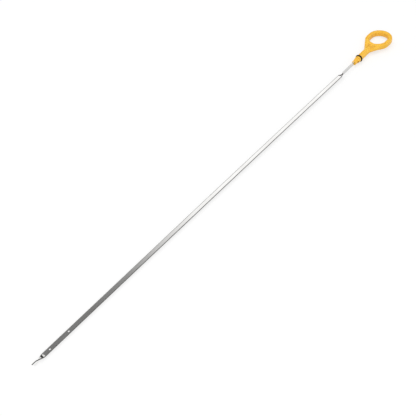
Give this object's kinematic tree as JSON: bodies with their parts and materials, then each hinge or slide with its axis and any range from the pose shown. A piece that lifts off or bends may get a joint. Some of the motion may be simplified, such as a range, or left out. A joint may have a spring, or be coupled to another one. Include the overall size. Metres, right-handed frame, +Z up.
{
  "type": "engine oil dipstick",
  "caption": "Engine oil dipstick: a long steel strip with level holes, twisted on edge at both ends, moulded into a finger ring handle that carries a rubber seal ring.",
  "frame": {"origin": "on the dipstick's axis in the middle plane of the pilot collar, which fits the mouth of the guide tube", "axes": "+X along the dipstick's axis from the strip towards the finger ring, to within the quarter of a degree by which the axis falls towards the tail at rest, +Y across the flat strip, +Z up as it lies at rest"},
  "size_m": [0.6473, 0.033, 0.0104],
  "materials": {
    "strip_steel": "satin rolled strip",
    "handle_plastic": "orange-yellow moulded plastic with a soft gloss",
    "seal_rubber": "matt black rubber"
  },
  "bodies": {
    "root": {"blade": "strip_steel", "handle": "handle_plastic", "seal_ring": "seal_rubber"}
  },
  "joints": []
}
